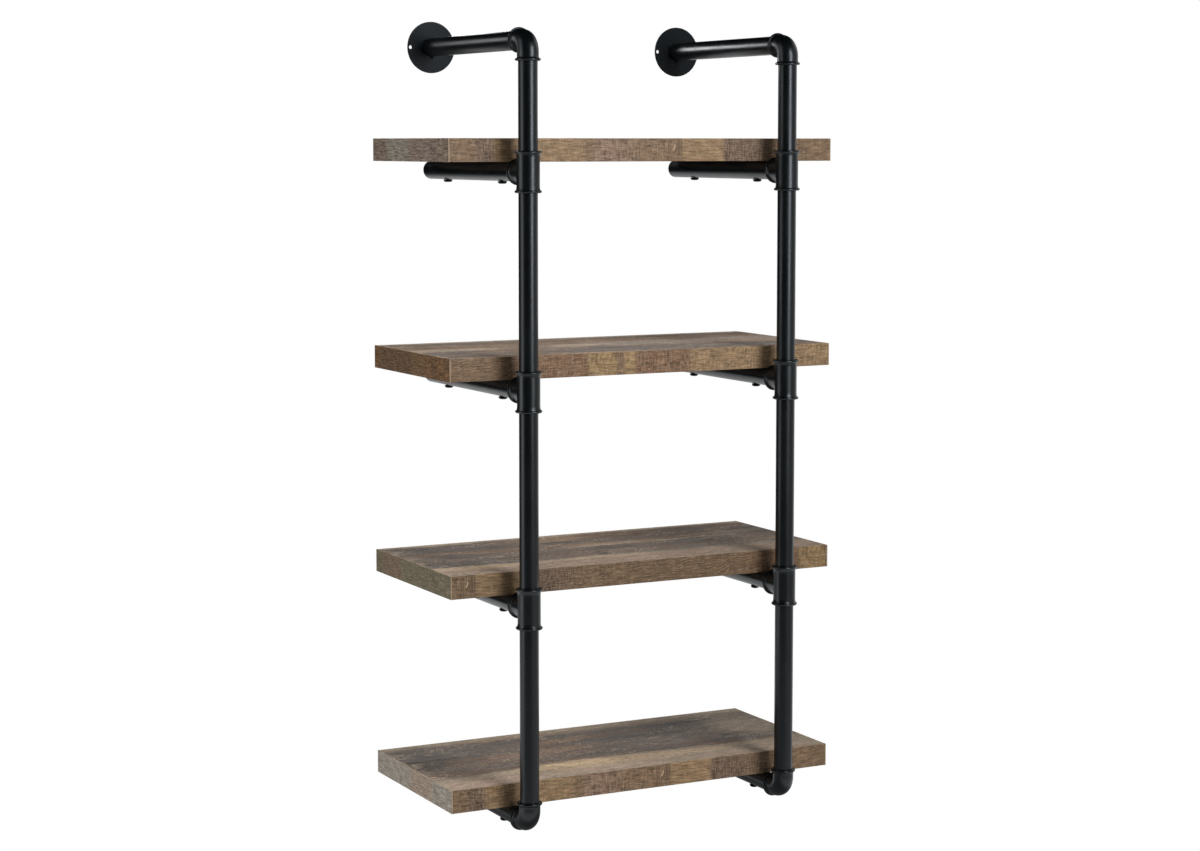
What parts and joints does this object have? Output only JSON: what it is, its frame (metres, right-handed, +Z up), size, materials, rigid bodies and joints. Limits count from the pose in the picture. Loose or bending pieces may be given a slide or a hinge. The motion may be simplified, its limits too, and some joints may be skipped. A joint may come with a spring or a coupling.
{
  "type": "wall bookshelf",
  "caption": "Open wall bookshelf: thick wood-look boards bolted to two black pipe frames of tubes, tees and elbows, hung from round wall flanges.",
  "frame": {"origin": "on the wall plane, midway between the centres of the two wall flanges", "axes": "+Y into the wall, +Z up, +X to the right as seen from the room"},
  "size_m": [0.8, 0.4555, 1.4852],
  "materials": {
    "board": "printed oak-look laminate, low sheen",
    "pipe_coat": "black satin powder coat on steel tube",
    "fitting_coat": "black satin powder coat on cast iron",
    "plug_plastic": "moulded black plastic",
    "bolt_coat": "black oxide steel",
    "insert_steel": "zinc-plated steel"
  },
  "bodies": {
    "root": {"left_wall_flange": "pipe_coat", "left_flange_tack_welds": "pipe_coat", "left_wall_arm": "pipe_coat", "left_top_elbow": "fitting_coat", "left_top_upright": "pipe_coat", "left_top_support_tube": "pipe_coat", "left_top_end_cap": "plug_plastic", "left_top_tee": "fitting_coat", "left_upper_middle_upright": "pipe_coat", "left_upper_middle_support_tube": "pipe_coat", "left_upper_middle_end_cap": "plug_plastic", "left_upper_middle_tee": "fitting_coat", "left_lower_middle_upright": "pipe_coat", "left_lower_middle_support_tube": "pipe_coat", "left_lower_middle_end_cap": "plug_plastic", "left_lower_middle_tee": "fitting_coat", "left_bottom_upright": "pipe_coat", "left_bottom_support_tube": "pipe_coat", "left_bottom_end_cap": "plug_plastic", "left_bottom_elbow": "fitting_coat", "right_wall_flange": "pipe_coat", "right_flange_tack_welds": "pipe_coat", "right_wall_arm": "pipe_coat", "right_top_elbow": "fitting_coat", "right_top_upright": "pipe_coat", "right_top_support_tube": "pipe_coat", "right_top_end_cap": "plug_plastic", "right_top_tee": "fitting_coat", "right_upper_middle_upright": "pipe_coat", "right_upper_middle_support_tube": "pipe_coat", "right_upper_middle_end_cap": "plug_plastic", "right_upper_middle_tee": "fitting_coat", "right_lower_middle_upright": "pipe_coat", "right_lower_middle_support_tube": "pipe_coat", "right_lower_middle_end_cap": "plug_plastic", "right_lower_middle_tee": "fitting_coat", "right_bottom_upright": "pipe_coat", "right_bottom_support_tube": "pipe_coat", "right_bottom_end_cap": "plug_plastic", "right_bottom_elbow": "fitting_coat", "top_shelf": "board", "top_shelf_inserts": "insert_steel", "top_shelf_bolts": "bolt_coat", "upper_middle_shelf": "board", "upper_middle_shelf_inserts": "insert_steel", "upper_middle_shelf_bolts": "bolt_coat", "lower_middle_shelf": "board", "lower_middle_shelf_inserts": "insert_steel", "lower_middle_shelf_bolts": "bolt_coat", "bottom_shelf": "board", "bottom_shelf_inserts": "insert_steel", "bottom_shelf_bolts": "bolt_coat"}
  },
  "joints": []
}
